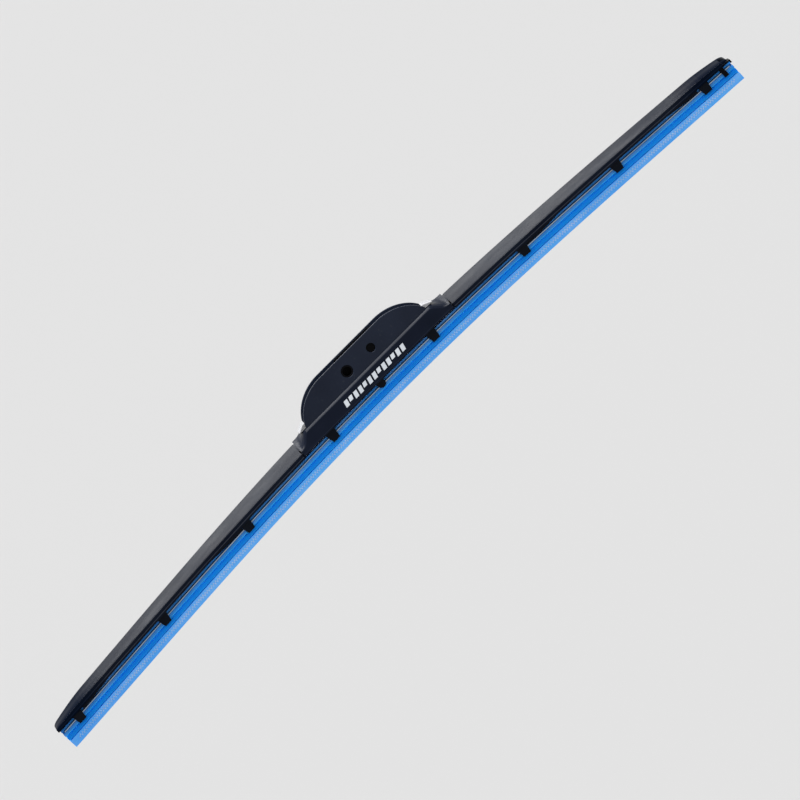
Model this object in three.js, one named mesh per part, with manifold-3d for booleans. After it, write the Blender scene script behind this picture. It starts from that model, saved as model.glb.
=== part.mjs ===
import * as THREE from "three";
import { mergeVertices } from "three/addons/utils/BufferGeometryUtils.js";
import Module from "manifold-3d";

const wasm = await Module();
wasm.setup();

// Hybrid windscreen wiper blade. Lengths in mm. While building, x runs along the blade from its middle,
// z up from the middle of the wiping lip, and the arm bracket is on top. At the end all is moved so that
// the axis of the larger side-pin hole is the origin.

// Wiping rubber
const STRIP_HALF = 241.3; // half its length
const TIP_DROP = 10.8; // how far the free blade's lip ends hang below its middle
const DROP_FULLNESS = 0.34; // 0 for a parabola, more for a bow that is flatter at its ends
const LIP_HALF = 0.45;
const LIP_FLARE = 0.25; // how much the lip widens over its first LIP_HEIGHT
const LIP_HEIGHT = 1.0;
const KEEL_BASE_HALF = 2.6; // half width of the scrubbing keel at its top
const KEEL_HEIGHT = 4.7;
const KEEL_EDGE = 0.5; // upright edge of the keel's top
const NECK_HALF = 0.6;
const NECK_HEIGHT = 0.6;
const SHOULDER_HALF = 2.9;
const SHOULDER_HEIGHT = 1.9;
const GROOVE_HALF = 1.3; // what is left between the two grooves the claws hook into
const GROOVE_HEIGHT = 1.0;
const FLANGE_HALF = 4.2; // flange under the rails
const FLANGE_HEIGHT = 1.65;
const HEAD_INSET = 0.8; // head's side inside the flange's
const HEAD_HEIGHT = 1.15;
const RAIL_THICK = 0.9;
const RAIL_WIDTH = 3.0;
const RAIL_GAP = 0.1; // rail to slot
const RAIL_PROUD = 0.25; // rail beyond the flange's edge
const RAIL_SHORT = 1.5; // rail's end inside the rubber's

const SHOULDER_Z = KEEL_HEIGHT + NECK_HEIGHT;
const GROOVE_Z = SHOULDER_Z + SHOULDER_HEIGHT;
const FLANGE_Z = GROOVE_Z + GROOVE_HEIGHT;
const SLOT_Z = FLANGE_Z + FLANGE_HEIGHT;
const SLOT_TOP_Z = SLOT_Z + RAIL_THICK + 2 * RAIL_GAP;
const HEAD_Z = SLOT_TOP_Z + HEAD_HEIGHT;
const HEAD_HALF = FLANGE_HALF - HEAD_INSET;
const RAIL_OUTER = FLANGE_HALF + RAIL_PROUD;
const RAIL_INNER = RAIL_OUTER - RAIL_WIDTH;

// Claws
const CLAW_THICK = 0.85;
const CLAW_SIDE_GAP = 0.3; // claw leg to rail edge
const CLAW_TOE = 2.0; // how far a toe reaches in under the flange
const TOE_GAP = 0.2; // toe to the groove, above and below
const CLAW_TOP_LENGTH = 6.4;
const CLAW_FOOT_LENGTH = 4.4;
const SKIRT_GAP = 0.1; // foot of a frame's skirt above the rail slot
const SINK = 0.1; // how far one part of a piece runs into the next

const TOE_Z = GROOVE_Z + TOE_GAP;
const TOE_THICK = GROOVE_HEIGHT - 2 * TOE_GAP;
const CLAW_INNER = RAIL_OUTER + CLAW_SIDE_GAP;
const CLAW_OUTER = CLAW_INNER + CLAW_THICK;
const SKIRT_FOOT = SLOT_TOP_Z + SKIRT_GAP;

// Covers
const COVER_HALF = CLAW_OUTER + 1.6; // half width
const COVER_BOTTOM = HEAD_Z + 0.5;
const COVER_SHOULDER = COVER_BOTTOM + 3.1; // where the front wall turns into the slope
const COVER_RIDGE = COVER_BOTTOM + 8.15; // at the bridge
const COVER_RIDGE_TIP = COVER_BOTTOM + 5.8; // where the nose starts
const COVER_WALL = 1.0;
const COVER_END_GAP = 0.8; // bridge end to cover end
const COVER_END_WALL = 0.6;
const COVER_END_INSET = 0.4; // end wall inside the outer surface
const RIDGE_Y = COVER_HALF - 3.2;
const RIDGE_FALL = 1.2; // power of the ridge's fall along the blade
const SLOPE_BELLY = 0.47; // fall to the middle of the slope, as a share of the fall to the shoulder
const SLOPE_MIDDLE_Y = -1.8;
const NOSE_LENGTH = 24;
const NOSE_RIDGE = COVER_BOTTOM + 3.3; // at the very tip
const NOSE_INSET = 0.9; // how much the cover narrows each side over the nose
const NOSE_SHOULDER_FALL = 1.1;
const NOSE_FALL = 1.6; // power of the ridge's fall over the nose
const NOSE_ROUND = 3; // length of the rounding at the very tip
const NOSE_ROUND_SIDE = 0.16; // share of the width and of the height that the rounding takes
const NOSE_ROUND_TOP = 0.3;
const NOSE_WALL = 3.4;
const COVER_NECK = 2.2; // how far the cover reaches in under the bridge
const COVER_NECK_WALL = 0.8;
const COVER_NECK_FOOT = 0.3; // neck's foot above the cover's
const COVER_NECK_RISE = 1.5; // neck's rear wall above its front wall
const NECK_GAP = 0.5; // neck to the bridge round it
const LEFT_COVER_OVERHANG = 0.8; // cover beyond the rubber's end
const RIGHT_COVER_SHORT = 0.4; // cover end to the rubber's end, where the end clip is
const RIB_THICK = 1.2;
const RIB_GAP = 0.3; // rib above the lever frame
const INNER_RIB = 22; // inner rib from the cover's end
const MIDDLE_RIB = 16; // middle rib from the yoke's outer claw
const OUTER_RIB = 42; // outer rib from the tip

// Bridge
const BRIDGE_HALF = 53.5;
const BRIDGE_BLEND = 10.0; // length over which each end turns into the covers' slope
const BRIDGE_WIDTH_HALF = COVER_HALF + 1.3;
const BRIDGE_BOTTOM = HEAD_Z + 1.0;
const BRIDGE_TOP = BRIDGE_BOTTOM + 9.4;
const BRIDGE_WALL = 1.6;
const BRIDGE_CHAMFER = 0.8;
const BRIDGE_STEP = 0.45; // how far the bridge's ends stand proud of the covers
const BRIDGE_END_ROOF = 1.0; // roof of the end's hollow over its shoulder at the rear
const BRIDGE_END_FRONT = 0.4; // and below it at the front

// Levers
const HINGE_X = BRIDGE_HALF - 5;
const HINGE_Z = HEAD_Z + 3.1;
const HINGE_PIN_R = 1.1;
const HINGE_PIN_COVER = 0.9; // plastic over each end of the hinge pin
const HINGE_PIN_END_GAP = 0.15;
const HINGE_BUSH_WALL = 0.55;
const YOKE_PIN_R = 0.9;
const YOKE_BUSH_WALL = 0.3;
const YOKE_PIN_SHORT = 0.05; // yoke pin's end inside the frame's side
const PIN_GAP = 0.06; // radial gap of every pin, bush and rivet in its hole
const HINGE_LUG_WALL = 0.7; // metal round a hole
const YOKE_LUG_WALL = 0.5;
const EAR_WALL = 0.45;
const FRAME_HALF = COVER_HALF - 3;
const FRAME_WALL = 0.8;
const FRAME_WEB = 0.7;
const FRAME_WEB_TOP = HEAD_Z + 2.5;
const FRAME_DEPTH = 1.1;
const FRAME_LEAD = 5; // frame's end before the hinge
const SEAT_THICK = 0.5; // plate that carries the tip claw
const YOKE_THICK = 0.65;
const YOKE_GAP = 0.2; // yoke over the rubber's head
const YOKE_FLOOR = 0.3; // metal under the ear's hole
const YOKE_SIDE_GAP = 0.25; // yoke ear to frame wall
const YOKE_PIVOT_X = 0.54372 * STRIP_HALF;
const YOKE_HALF = 0.13179 * STRIP_HALF; // pivot to claw
const TIP_SKIRT_LENGTH = 0.14505 * STRIP_HALF;
const SKIRT_END_GAP = 5; // yoke's skirt to its pivot
const YOKE_WINDOW_HALF = 7; // openings in the frame's web
const HINGE_WINDOW_HALF = 3.5;
const LEFT_TIP_CLAW_X = STRIP_HALF - 12.6;
const RIGHT_TIP_CLAW_X = STRIP_HALF - 18.2;

// Claw holder under the bridge
const HOLDER_HALF = HINGE_X - 7.9;
const HOLDER_WEB = 1.2;
const CENTRE_CLAW_X = HOLDER_HALF - 4.6;
const CENTRE_TAB_LENGTH = 4.8;
const CENTRE_TAB_FOOT = FLANGE_Z + 0.8; // the tab's lowest point

// Arm bracket
const PIN_X = -8; // larger side-pin hole
const PIN_Z = BRIDGE_TOP + 5.9;
const PIN_HOLE_R = 3.175;
const SMALL_PIN_X = 9;
const SMALL_PIN_HOLE_R = 2.38;
const BRACKET_HALF = BRIDGE_HALF - 10.5;
const BRACKET_SHOULDER = 22.6; // length of each curved end of the wall's top edge
const BRACKET_TOP = PIN_Z + 7.8;
const BRACKET_END_TOP = BRIDGE_TOP + 1.4; // height of the wall's upright end
const BRACKET_WALL = 1.1;
const BRACKET_OUTER = BRIDGE_WIDTH_HALF - 1.7; // half width over the walls
const BRACKET_GAP = 0.15; // bracket in the bridge's pocket
const CURVE_END_PULL = 0.133; // shape of the wall's curved ends
const CURVE_END_RISE = 0.54;
const CURVE_TOP_PULL = 0.469;
const WINDOW_HALF = 10; // hook window in the bracket's base and liner
const WINDOW_EDGE = 1.0; // base left beside the window
const RIVET_X = CENTRE_CLAW_X - 5;
const RIVET_R = 1.5;
const RIVET_HEAD_R = 2.8;
const RIVET_HEAD = 0.9;
const RIVET_FOOT_SHARE = 0.7; // radius of the lower head's flat, as a share
const STACK_GAP = 0.05; // between the riveted layers
const LINER_THICK = 0.8;
const LINER_GAP = 0.3;
const LINER_WEDGE = 4.6; // how far a wedge reaches past the bracket
const LINER_WEDGE_RISE = 2.4;
const LINER_WEDGE_EDGE = 0.4; // wedge's thickness at its outer end, and its crest's gap to the bracket
const LINER_CREST = 1.2;

// Hook adapter, sizes from its pivot
const ADAPTER_GAP = 0.3;
const ADAPTER_CHEEK = 0.8;
const BARREL_R = 3.0;
const BARREL_BORE_R = 2.4;
const BARREL_WEB_HALF = 1.0; // wall in the middle of the barrel
const TRUNNION_GAP = 0.08;
const TRUNNION_RECESS = 0.3; // trunnion end below the wall's outer face
const ADAPTER_LENGTH = 34;
const ADAPTER_HEEL = 4.7;
const ADAPTER_RISE = 7.1;
const HEEL_FLAT = 5; // end of the low heel
const HEEL_FLAT_RISE = 0.6;
const LATCH_LOW = 0.9; // latch end's upright face
const LATCH_HIGH = 2.6;
const LATCH_CHAMFER = 1;
const LATCH_SLOPE = 7;
const LATCH_SHOULDER = 12;
const LATCH_SHOULDER_FALL = 1.2;
const HOOK_ROOM_END = 6.4; // end of the room for the hook's bend
const SHANK_START = 9;

// End clip
const CLIP_CLAW_X = STRIP_HALF - 5.8;
const CLIP_CLAW_LENGTH = 2.5;
const CLIP_END_WALL = 0.8;
const CLIP_END_GAP = 0.2;
const CLIP_ROOM = 0.35; // end clip to the cover round it

const OVER = 1; // how far a cutter reaches past what it cuts
const STRIP_STEPS = 30;
const COVER_STEPS = 22;
const YOKE_STEPS = 12;
const SKIRT_STEPS = 4;
const BLEND_STEPS = 5;
const CURVE_STEPS = 10;
const HOLE_SIDES = 24;

const YOKE_Z = HEAD_Z + YOKE_GAP;
const YOKE_TOP = YOKE_Z + YOKE_THICK;
const BASE_Z = BRIDGE_TOP - BRACKET_WALL;
const BRACKET_INNER_HALF = BRACKET_OUTER - BRACKET_WALL;
const HOLDER_TOP = BASE_Z - BRIDGE_WALL - 2 * STACK_GAP;
const ADAPTER_OUTER = BRACKET_INNER_HALF - ADAPTER_GAP;
const ADAPTER_INNER = ADAPTER_OUTER - ADAPTER_CHEEK;
const HINGE_PIN_HALF = COVER_HALF + BRIDGE_STEP - HINGE_PIN_COVER;
const HINGE_BUSH_R = HINGE_PIN_R + PIN_GAP + HINGE_BUSH_WALL;
const YOKE_PIN_HALF = FRAME_HALF - YOKE_PIN_SHORT;
const YOKE_BUSH_R = YOKE_PIN_R + PIN_GAP + YOKE_BUSH_WALL;
const YOKE_PIN_Z = YOKE_Z + YOKE_FLOOR + YOKE_BUSH_R + PIN_GAP;
const FRAME_INNER = FRAME_HALF - FRAME_WALL;
const YOKE_EAR_HALF = FRAME_INNER - YOKE_SIDE_GAP;
const FRAME_FOOT = FRAME_WEB_TOP - FRAME_DEPTH;
const COVER_START = BRIDGE_HALF + COVER_END_GAP;

// How far the free blade has dropped at x
function bow(x) {
  const s = (x / STRIP_HALF) ** 2;
  return TIP_DROP * ((1 + DROP_FULLNESS) * s - DROP_FULLNESS * s * s);
}

function cleaned(geometry) {
  const g = geometry.index ? geometry.toNonIndexed() : geometry.clone();
  g.deleteAttribute("normal");
  g.deleteAttribute("uv");
  return mergeVertices(g, 1e-5);
}

function solid(geometry) {
  const g = cleaned(geometry);
  return new wasm.Manifold(
    new wasm.Mesh({
      numProp: 3,
      vertProperties: new Float32Array(g.attributes.position.array),
      triVerts: new Uint32Array(g.index.array),
    }),
  );
}

function join(first, ...rest) {
  return rest.reduce((all, next) => all.add(next), first);
}

function cut(first, ...rest) {
  return rest.reduce((left, next) => left.subtract(next), first);
}

function toGeometry(manifold) {
  const m = manifold.getMesh();
  const g = new THREE.BufferGeometry();
  g.setAttribute("position", new THREE.BufferAttribute(new Float32Array(m.vertProperties), m.numProp));
  g.setIndex(new THREE.BufferAttribute(new Uint32Array(m.triVerts), 1));
  return g;
}

function box(x0, x1, y0, y1, z0, z1) {
  const g = new THREE.BoxGeometry(x1 - x0, y1 - y0, z1 - z0);
  g.translate((x0 + x1) / 2, (y0 + y1) / 2, (z0 + z1) / 2);
  return solid(g);
}

// A bar of cross-section (y, z) along xs; at(x, i) gives corner i where the section changes with x
function loft(section, xs, at) {
  const shape = new THREE.Shape(section.map(([y, z]) => new THREE.Vector2(y, z)));
  const steps = xs.length - 1;
  const g = new THREE.ExtrudeGeometry(shape, { depth: steps, steps, bevelEnabled: false });
  const p = g.attributes.position;
  for (let i = 0; i < p.count; i += 1) {
    const y = p.getX(i);
    const z = p.getY(i);
    const x = xs[Math.round(p.getZ(i))];
    const corner = nearest(section, y, z);
    const [ny, nz] = at ? at(x, corner) : section[corner];
    p.setXYZ(i, x, ny, nz);
  }
  return solid(g);
}

function nearest(section, y, z) {
  let best = 0;
  let least = Infinity;
  section.forEach(([sy, sz], i) => {
    const d = (sy - y) ** 2 + (sz - z) ** 2;
    if (d < least) {
      least = d;
      best = i;
    }
  });
  return best;
}

function stations(x0, x1, count) {
  return Array.from({ length: count + 1 }, (_, i) => x0 + ((x1 - x0) * i) / count);
}

// Bar of rectangular section with corners at each of xs
function strip(y0, y1, z0, z1, xs) {
  return loft([[y0, z0], [y1, z0], [y1, z1], [y0, z1]], xs);
}

// Plate with an outline in x and z, between y0 and y1
function plate(shape, y0, y1, curveSegments = 8) {
  const g = new THREE.ExtrudeGeometry(shape, { depth: y1 - y0, bevelEnabled: false, curveSegments });
  g.rotateX(Math.PI / 2);
  g.translate(0, y1, 0);
  return solid(g);
}

function outline(points) {
  return new THREE.Shape(points.map(([x, z]) => new THREE.Vector2(x, z)));
}

// Round bar along y
function rod(x, z, r, y0, y1) {
  const g = new THREE.CylinderGeometry(r, r, y1 - y0, HOLE_SIDES);
  g.translate(x, (y0 + y1) / 2, z);
  return solid(g);
}

function tube(x, z, inner, outer, y0, y1) {
  return cut(rod(x, z, outer, y0, y1), rod(x, z, inner, y0 - 1, y1 + 1));
}

// Moves every corner down by the bow
function bowed(manifold) {
  return manifold.warp((v) => {
    v[2] -= bow(v[0]);
  });
}

function mirrored(manifold, side) {
  return side > 0 ? manifold : manifold.mirror([1, 0, 0]);
}

// Both y sides of a piece made on the +y side
function pair(manifold) {
  return join(manifold, manifold.mirror([0, 1, 0]));
}

function sectionBothSides(half) {
  const other = half.map(([y, z]) => [-y, z]).reverse();
  return [...half, ...other];
}

function rubberSection() {
  return sectionBothSides([
    [LIP_HALF, 0],
    [LIP_HALF + LIP_FLARE, LIP_HEIGHT],
    [KEEL_BASE_HALF, KEEL_HEIGHT - KEEL_EDGE],
    [KEEL_BASE_HALF, KEEL_HEIGHT],
    [NECK_HALF, KEEL_HEIGHT],
    [NECK_HALF, SHOULDER_Z],
    [SHOULDER_HALF, SHOULDER_Z],
    [SHOULDER_HALF, GROOVE_Z],
    [GROOVE_HALF, GROOVE_Z],
    [GROOVE_HALF, FLANGE_Z],
    [FLANGE_HALF, FLANGE_Z],
    [FLANGE_HALF, SLOT_Z],
    [RAIL_INNER - RAIL_GAP, SLOT_Z],
    [RAIL_INNER - RAIL_GAP, SLOT_TOP_Z],
    [HEAD_HALF, SLOT_TOP_Z],
    [HEAD_HALF, HEAD_Z],
  ]);
}

function wiperRubber() {
  return bowed(loft(rubberSection(), stations(-STRIP_HALF, STRIP_HALF, STRIP_STEPS)));
}

function rail() {
  const z0 = SLOT_Z + RAIL_GAP;
  const section = [
    [RAIL_INNER, z0],
    [RAIL_OUTER, z0],
    [RAIL_OUTER, z0 + RAIL_THICK],
    [RAIL_INNER, z0 + RAIL_THICK],
  ];
  const reach = STRIP_HALF - RAIL_SHORT;
  return bowed(loft(section, stations(-reach, reach, STRIP_STEPS)));
}

// Two legs and toes that reach round the strip from a plate at height top
function claw(x, top, topLength, footLength) {
  const half = footLength / 2;
  const leg = plate(
    outline([
      [x - half, TOE_Z],
      [x + half, TOE_Z],
      [x + topLength / 2, top],
      [x - topLength / 2, top],
    ]),
    CLAW_INNER,
    CLAW_OUTER,
  );
  const hook = box(x - half, x + half, CLAW_INNER - CLAW_TOE, CLAW_OUTER, TOE_Z, TOE_Z + TOE_THICK);
  return pair(join(leg, hook));
}

function bridgeSections() {
  const middle = [
    [-BRIDGE_WIDTH_HALF, BRIDGE_BOTTOM],
    [BRIDGE_WIDTH_HALF, BRIDGE_BOTTOM],
    [BRIDGE_WIDTH_HALF, BRIDGE_TOP - BRIDGE_CHAMFER],
    [BRIDGE_WIDTH_HALF - BRIDGE_CHAMFER, BRIDGE_TOP],
    [RIDGE_Y - 1.5, BRIDGE_TOP],
    [-BRIDGE_WIDTH_HALF + BRIDGE_CHAMFER, BRIDGE_TOP],
    [-BRIDGE_WIDTH_HALF, BRIDGE_TOP - BRIDGE_CHAMFER],
  ];
  const half = COVER_HALF + BRIDGE_STEP;
  const slope = [
    [-half, COVER_BOTTOM],
    [half, COVER_BOTTOM],
    [half, COVER_SHOULDER + BRIDGE_STEP],
    [RIDGE_Y + 1.3, COVER_RIDGE + BRIDGE_STEP - 0.3],
    [RIDGE_Y - 0.7, COVER_RIDGE + BRIDGE_STEP],
    [-half + 0.3, COVER_SHOULDER + BRIDGE_STEP + 0.2],
    [-half, COVER_SHOULDER + BRIDGE_STEP - 0.5],
  ];
  return { middle, slope };
}

function bridgeBlend(x) {
  const t = (Math.abs(x) - (BRIDGE_HALF - BRIDGE_BLEND)) / BRIDGE_BLEND;
  return Math.min(1, Math.max(0, t));
}

function bridgeStations(reach) {
  const start = BRIDGE_HALF - BRIDGE_BLEND;
  const ends = stations(start, reach, BLEND_STEPS);
  return [...ends.map((x) => -x).reverse(), ...ends];
}

function bridgeLoft(middle, slope, reach) {
  return loft(middle, bridgeStations(reach), (x, i) => {
    const t = bridgeBlend(x);
    const [ay, az] = middle[i];
    const [by, bz] = slope[i];
    return [ay + (by - ay) * t, az + (bz - az) * t];
  });
}

function centreBridge() {
  const { middle, slope } = bridgeSections();
  const shell = bridgeLoft(middle, slope, BRIDGE_HALF);
  const half = BRIDGE_WIDTH_HALF - BRIDGE_WALL;
  const foot = BRIDGE_BOTTOM - OVER;
  const ceiling = BASE_Z - BRIDGE_WALL - STACK_GAP;
  const hollow = [[-half, foot], [half, foot], [half, ceiling], [-half, ceiling]];
  const endHalf = COVER_HALF + BRIDGE_STEP - BRIDGE_WALL;
  const roof = COVER_SHOULDER + BRIDGE_STEP;
  const endHollow = [
    [-endHalf, foot],
    [endHalf, foot],
    [endHalf, roof + BRIDGE_END_ROOF],
    [-endHalf, roof - BRIDGE_END_FRONT],
  ];
  const cavity = bridgeLoft(hollow, endHollow, BRIDGE_HALF + OVER);
  const reach = BRACKET_HALF + BRACKET_GAP;
  const side = BRACKET_OUTER + BRACKET_GAP;
  const pocket = box(-reach, reach, -side, side, BASE_Z - STACK_GAP, BRIDGE_TOP + OVER);
  const pinReach = HINGE_PIN_HALF + HINGE_PIN_END_GAP;
  let bridge = cut(shell, cavity, pocket);
  for (const s of [-1, 1]) {
    bridge = cut(bridge, rod(s * HINGE_X, HINGE_Z, HINGE_PIN_R + PIN_GAP, -pinReach, pinReach));
    bridge = cut(bridge, uprightRod(s * RIVET_X, RIVET_R + PIN_GAP, ceiling - OVER, BASE_Z + OVER));
  }
  return bridge;
}

function uprightRod(x, r, z0, z1) {
  const g = new THREE.CylinderGeometry(r, r, z1 - z0, HOLE_SIDES);
  g.rotateX(Math.PI / 2);
  g.translate(x, 0, (z0 + z1) / 2);
  return solid(g);
}

function bracketWallShape() {
  const shape = new THREE.Shape();
  const rise = BRACKET_END_TOP + (BRACKET_TOP - BRACKET_END_TOP) * CURVE_END_RISE;
  const pull = BRACKET_HALF - BRACKET_SHOULDER * CURVE_END_PULL;
  const flat = BRACKET_HALF - BRACKET_SHOULDER;
  const crest = flat + BRACKET_SHOULDER * CURVE_TOP_PULL;
  shape.moveTo(-BRACKET_HALF, BASE_Z);
  shape.lineTo(BRACKET_HALF, BASE_Z);
  shape.lineTo(BRACKET_HALF, BRACKET_END_TOP);
  shape.bezierCurveTo(pull, rise, crest, BRACKET_TOP, flat, BRACKET_TOP);
  shape.lineTo(-flat, BRACKET_TOP);
  shape.bezierCurveTo(-crest, BRACKET_TOP, -pull, rise, -BRACKET_HALF, BRACKET_END_TOP);
  shape.closePath();
  return shape;
}

function hookWindow(z0, z1) {
  const half = BRACKET_INNER_HALF - WINDOW_EDGE;
  return box(PIN_X - WINDOW_HALF, PIN_X + WINDOW_HALF, -half, half, z0, z1);
}

function armBracket() {
  const block = plate(bracketWallShape(), -BRACKET_OUTER, BRACKET_OUTER, CURVE_STEPS);
  const reach = BRACKET_HALF + OVER;
  const through = BRACKET_OUTER + OVER;
  const inner = BRACKET_INNER_HALF;
  let bracket = cut(
    block,
    box(-reach, reach, -inner, inner, BRIDGE_TOP, BRACKET_TOP + OVER),
    hookWindow(BASE_Z - OVER, BRIDGE_TOP + OVER),
    rod(PIN_X, PIN_Z, PIN_HOLE_R, -through, through),
    rod(SMALL_PIN_X, PIN_Z, SMALL_PIN_HOLE_R, -through, through),
  );
  for (const s of [-1, 1]) {
    bracket = cut(bracket, uprightRod(s * RIVET_X, RIVET_R + PIN_GAP, BASE_Z - OVER, BRIDGE_TOP + OVER));
  }
  return bracket;
}

function adapterLiner() {
  const z0 = BRIDGE_TOP + STACK_GAP;
  const top = z0 + LINER_THICK;
  const edge = LINER_WEDGE_EDGE;
  const crest = BRACKET_HALF + edge;
  const back = crest - LINER_CREST;
  const rise = z0 + LINER_WEDGE_RISE;
  const end = BRACKET_HALF + LINER_WEDGE;
  const shape = outline([
    [-end, z0],
    [end, z0],
    [end, z0 + edge],
    [crest, rise],
    [back, rise],
    [back, top],
    [-back, top],
    [-back, rise],
    [-crest, rise],
    [-end, z0 + edge],
  ]);
  const half = BRACKET_INNER_HALF - LINER_GAP;
  let liner = cut(plate(shape, -half, half), hookWindow(z0 - OVER, top + OVER));
  for (const s of [-1, 1]) {
    liner = cut(liner, uprightRod(s * RIVET_X, RIVET_R + PIN_GAP, z0 - OVER, top + OVER));
  }
  return liner;
}

function rivet(x) {
  const under = HOLDER_TOP - HOLDER_WEB - STACK_GAP;
  const over = BRIDGE_TOP + LINER_THICK + 2 * STACK_GAP;
  const profile = [
    [0, under - RIVET_HEAD],
    [RIVET_HEAD_R * RIVET_FOOT_SHARE, under - RIVET_HEAD],
    [RIVET_HEAD_R, under],
    [RIVET_R, under],
    [RIVET_R, over],
    [RIVET_HEAD_R, over],
    ...stations(0, Math.PI / 2, SKIRT_STEPS).slice(1).map((angle) => [
      RIVET_HEAD_R * Math.max(0, Math.cos(angle)),
      over + RIVET_HEAD * Math.sin(angle),
    ]),
  ];
  const g = new THREE.LatheGeometry(
    profile.map(([r, z]) => new THREE.Vector2(r, z)),
    HOLE_SIDES,
  );
  g.rotateX(Math.PI / 2);
  g.translate(x, 0, 0);
  return solid(g);
}

function adapterOutline() {
  const p = (dx, dz) => [PIN_X + dx, PIN_Z + dz];
  const heel = ADAPTER_HEEL;
  const end = ADAPTER_LENGTH;
  const shape = new THREE.Shape();
  shape.moveTo(...p(0, -heel));
  shape.lineTo(...p(HEEL_FLAT, HEEL_FLAT_RISE - heel));
  shape.lineTo(...p(end - LATCH_CHAMFER, LATCH_LOW - LATCH_CHAMFER));
  shape.lineTo(...p(end, LATCH_LOW));
  shape.lineTo(...p(end, LATCH_HIGH));
  shape.lineTo(...p(end - LATCH_SLOPE, ADAPTER_RISE - LATCH_SHOULDER_FALL));
  shape.lineTo(...p(end - LATCH_SHOULDER, ADAPTER_RISE));
  shape.lineTo(...p(-1, ADAPTER_RISE));
  shape.lineTo(...p(-heel * 0.8, heel * 0.75));
  shape.absarc(PIN_X, PIN_Z, heel, Math.PI * 0.85, Math.PI * 1.5, false);
  return shape;
}

// Room for the hook arm's bend and shank, less the barrel the hook goes round
function hookRoom() {
  const back = PIN_X - ADAPTER_HEEL - OVER;
  const low = PIN_Z - ADAPTER_HEEL - OVER;
  const high = PIN_Z + ADAPTER_RISE + OVER;
  const end = PIN_X + ADAPTER_LENGTH + OVER;
  const floor = PIN_Z + BARREL_R;
  const shape = outline([
    [back, low],
    [PIN_X + HOOK_ROOM_END, low],
    [PIN_X + HOOK_ROOM_END, PIN_Z + HEEL_FLAT_RISE],
    [PIN_X + SHANK_START, floor],
    [end, floor],
    [end, high],
    [back, high],
  ]);
  const through = ADAPTER_INNER + OVER;
  return cut(plate(shape, -ADAPTER_INNER, ADAPTER_INNER), rod(PIN_X, PIN_Z, BARREL_R, -through, through));
}

function hookAdapter() {
  const reach = BRACKET_OUTER - TRUNNION_RECESS;
  const start = ADAPTER_INNER + SINK;
  const body = plate(adapterOutline(), -ADAPTER_OUTER, ADAPTER_OUTER, CURVE_STEPS);
  const trunnion = rod(PIN_X, PIN_Z, PIN_HOLE_R - TRUNNION_GAP, start, reach);
  const bore = rod(PIN_X, PIN_Z, BARREL_BORE_R, BARREL_WEB_HALF, reach + OVER);
  return cut(join(cut(body, hookRoom()), pair(trunnion)), pair(bore));
}

function clawHolder() {
  const top = HOLDER_TOP;
  const web = box(-HOLDER_HALF, HOLDER_HALF, -CLAW_OUTER, CLAW_OUTER, top - HOLDER_WEB, top);
  const wall = box(-HOLDER_HALF, HOLDER_HALF, CLAW_INNER, CLAW_OUTER, BRIDGE_BOTTOM, top - HOLDER_WEB / 2);
  const radius = CENTRE_TAB_LENGTH / 2;
  const tabShape = new THREE.Shape();
  tabShape.moveTo(radius, BRIDGE_BOTTOM + OVER);
  tabShape.lineTo(-radius, BRIDGE_BOTTOM + OVER);
  tabShape.lineTo(-radius, CENTRE_TAB_FOOT + radius);
  tabShape.absarc(0, CENTRE_TAB_FOOT + radius, radius, Math.PI, 2 * Math.PI, false);
  const tab = pair(plate(tabShape, CLAW_INNER, CLAW_OUTER));
  let holder = join(web, pair(wall), tab);
  for (const s of [-1, 1]) {
    const gripTop = BRIDGE_BOTTOM + SINK + bow(CENTRE_CLAW_X);
    const grip = claw(s * CENTRE_CLAW_X, gripTop, CLAW_TOP_LENGTH, CLAW_FOOT_LENGTH);
    holder = join(holder, bowed(grip));
    holder = cut(holder, uprightRod(s * RIVET_X, RIVET_R + PIN_GAP, top - HOLDER_WEB - OVER, top + OVER));
  }
  return holder;
}

// Heights and half width of a cover at x
function coverSection(x) {
  const noseStart = STRIP_HALF - NOSE_LENGTH;
  const along = Math.min(1, (x - COVER_START) / (noseStart - COVER_START));
  const nose = Math.max(0, (x - noseStart) / NOSE_LENGTH);
  const fall = (COVER_RIDGE - COVER_RIDGE_TIP) * along ** RIDGE_FALL;
  const noseFall = (COVER_RIDGE_TIP - NOSE_RIDGE) * nose ** NOSE_FALL;
  return {
    ridge: COVER_RIDGE - fall - noseFall,
    half: COVER_HALF - NOSE_INSET * nose ** 2,
    shoulder: COVER_SHOULDER - NOSE_SHOULDER_FALL * nose ** 2,
  };
}

// Corners of a cover's section, wall inside its outer surface
function coverCorners({ ridge, half, shoulder }, wall, drop) {
  const w = wall;
  const top = ridge - w;
  return [
    [-half + w, COVER_BOTTOM - drop],
    [half - w, COVER_BOTTOM - drop],
    [half - w, shoulder - w * 0.6],
    [RIDGE_Y + 1.6 - w * 0.6, top - 0.5],
    [RIDGE_Y - w * 0.3, top],
    [RIDGE_Y - 1.2, top - 0.25],
    [SLOPE_MIDDLE_Y, top - SLOPE_BELLY * (ridge - shoulder)],
    [-half + 0.5 + w, shoulder + 0.3 - w],
    [-half + w, shoulder - 0.3 - w * 0.7],
  ];
}

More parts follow.
